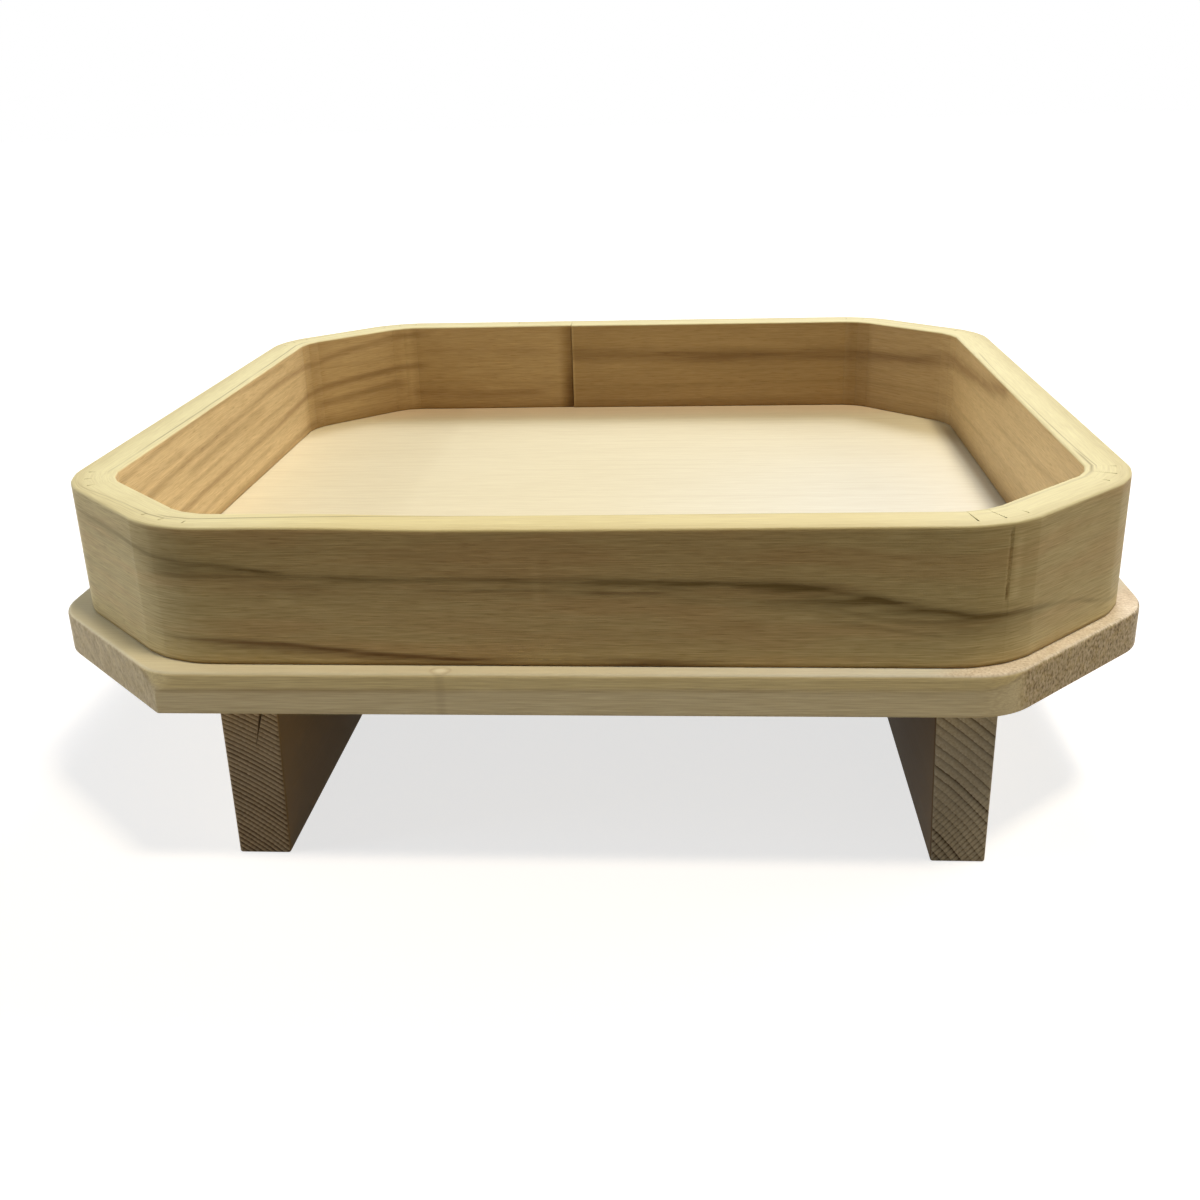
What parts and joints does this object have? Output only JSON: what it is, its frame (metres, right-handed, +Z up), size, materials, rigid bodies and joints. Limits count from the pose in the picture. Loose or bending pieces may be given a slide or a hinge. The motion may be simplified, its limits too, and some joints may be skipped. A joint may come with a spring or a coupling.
{
  "type": "footed offering stand",
  "caption": "Octagonal wooden offering tray on two plank feet, with a low rim bent from one kerfed strip around a flat floor.",
  "frame": {"origin": "on the surface that the stand rests on, under the middle of the board", "axes": "+Z up; +X to the right seen from the front, along the board's grain; -Y is the front; the feet run along Y; the rim's closing joint is in the back wall, at +Y"},
  "size_m": [0.1516, 0.1516, 0.0469],
  "materials": {
    "board_wood": "planed, unfinished",
    "rim_wood": "planed, unfinished",
    "foot_wood": "planed faces, sawn end grain, unfinished",
    "bamboo": "split and whittled bamboo, end fibres showing",
    "dowel_wood": "turned, unfinished"
  },
  "bodies": {
    "root": {"base_board": "board_wood", "rim_hoop": "rim_wood", "left_foot": "foot_wood", "right_foot": "foot_wood", "rim_pegs": "bamboo", "left_foot_dowels": "dowel_wood", "right_foot_dowels": "dowel_wood"}
  },
  "joints": []
}
